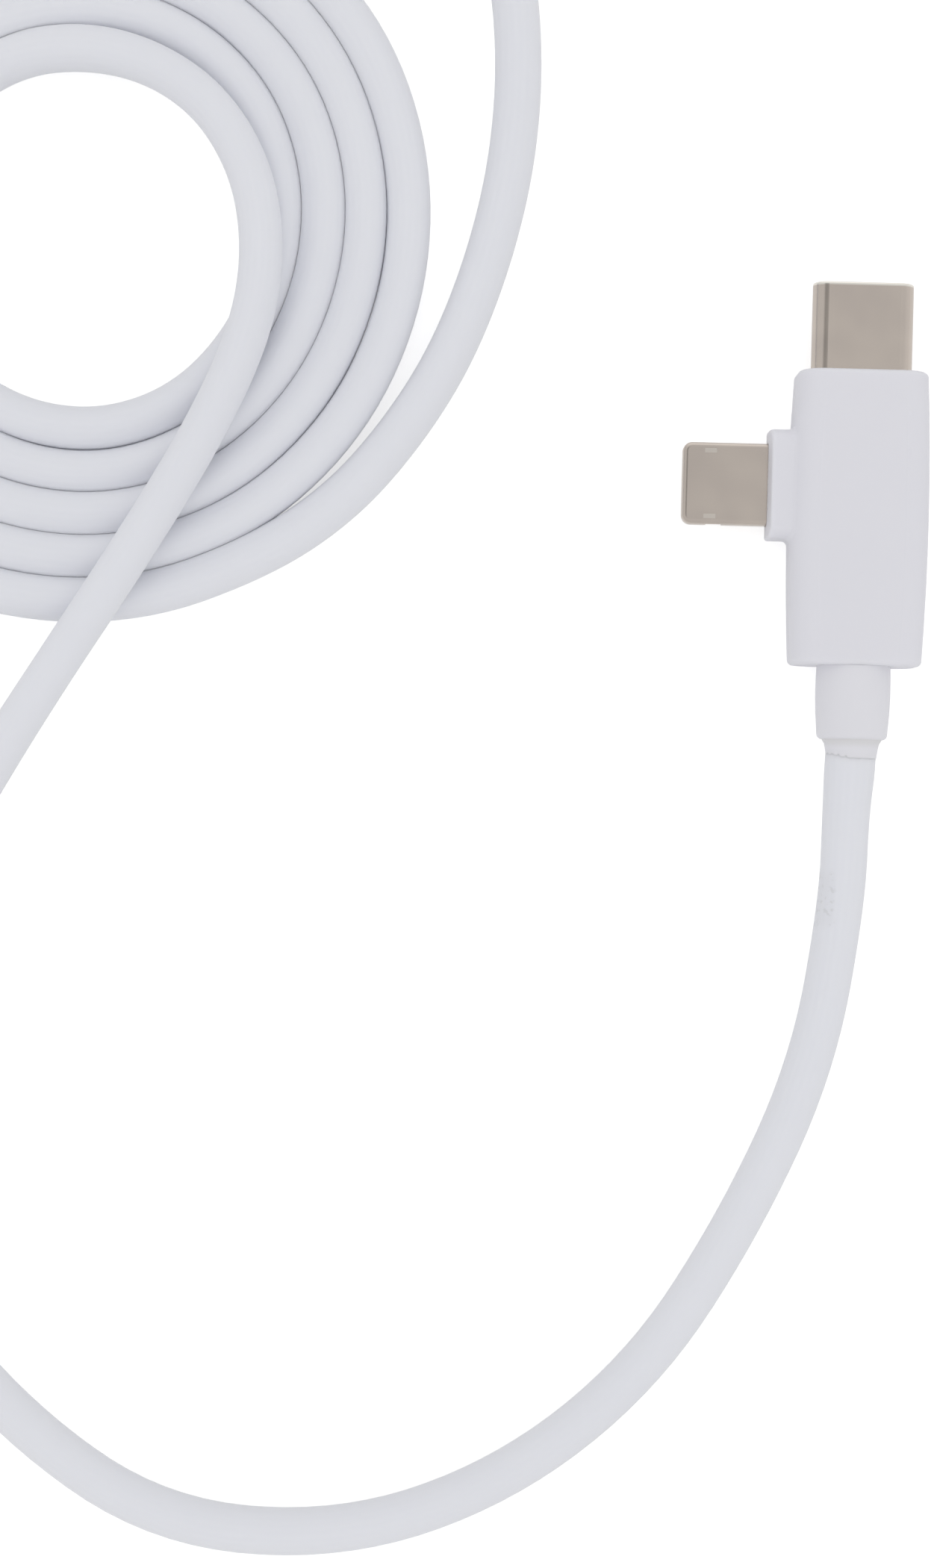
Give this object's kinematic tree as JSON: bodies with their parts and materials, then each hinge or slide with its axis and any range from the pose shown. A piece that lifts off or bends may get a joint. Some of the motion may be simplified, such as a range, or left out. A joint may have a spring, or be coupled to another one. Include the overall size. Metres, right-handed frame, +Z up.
{
  "type": "charging cable",
  "caption": "White charging cable, loosely coiled, with a T-shaped moulded head that carries an oval plug at its end and a flat tab plug at its side.",
  "frame": {"origin": "on the table, under the middle of the T-shaped head's covers", "axes": "+Y along the head, from its sleeve to the oval plug; +X away from the tab plug; +Z up from the table"},
  "size_m": [0.1014, 0.1541, 0.0079],
  "materials": {
    "cover_plastic": "satin",
    "relief_rubber": "satin",
    "cord_jacket": "satin",
    "crimp_steel": "satin",
    "plug_steel": "satin",
    "insulator_plastic": "matte",
    "contact_metal": "polished",
    "spring_steel": "satin",
    "board_laminate": "satin",
    "chip_plastic": "matte",
    "capacitor_ceramic": "matte",
    "wire_red": "satin",
    "wire_black": "satin",
    "wire_white": "satin",
    "wire_green": "satin"
  },
  "bodies": {
    "root": {"board_capacitors": "capacitor_ceramic", "charge_chip": "chip_plastic", "cord_coil": "cord_jacket", "cord_crimp": "crimp_steel", "cord_lead": "cord_jacket", "cord_tail": "cord_jacket", "far_base": "cover_plastic", "far_board": "board_laminate", "far_chip": "chip_plastic", "far_cord_crimp": "crimp_steel", "far_lid": "cover_plastic", "far_oval_carrier_lower": "insulator_plastic", "far_oval_carrier_upper": "insulator_plastic", "far_oval_contacts_lower": "contact_metal", "far_oval_contacts_upper": "contact_metal", "far_oval_ground_springs": "spring_steel", "far_oval_latch_plate": "spring_steel", "far_oval_mouth": "insulator_plastic", "far_oval_shell": "plug_steel", "far_strain_relief": "relief_rubber", "far_wire_black": "wire_black", "far_wire_green": "wire_green", "far_wire_red": "wire_red", "far_wire_white": "wire_white", "head_base": "cover_plastic", "head_lid": "cover_plastic", "main_board": "board_laminate", "oval_carrier_lower": "insulator_plastic", "oval_carrier_upper": "insulator_plastic", "oval_contacts_lower": "contact_metal", "oval_contacts_upper": "contact_metal", "oval_ground_springs": "spring_steel", "oval_latch_plate": "spring_steel", "oval_mouth": "insulator_plastic", "oval_shell": "plug_steel", "signal_chip": "chip_plastic", "strain_relief": "relief_rubber", "tab_carrier": "insulator_plastic", "tab_contacts": "contact_metal", "tab_shell": "plug_steel", "wire_black": "wire_black", "wire_green": "wire_green", "wire_red": "wire_red", "wire_white": "wire_white"}
  },
  "joints": []
}
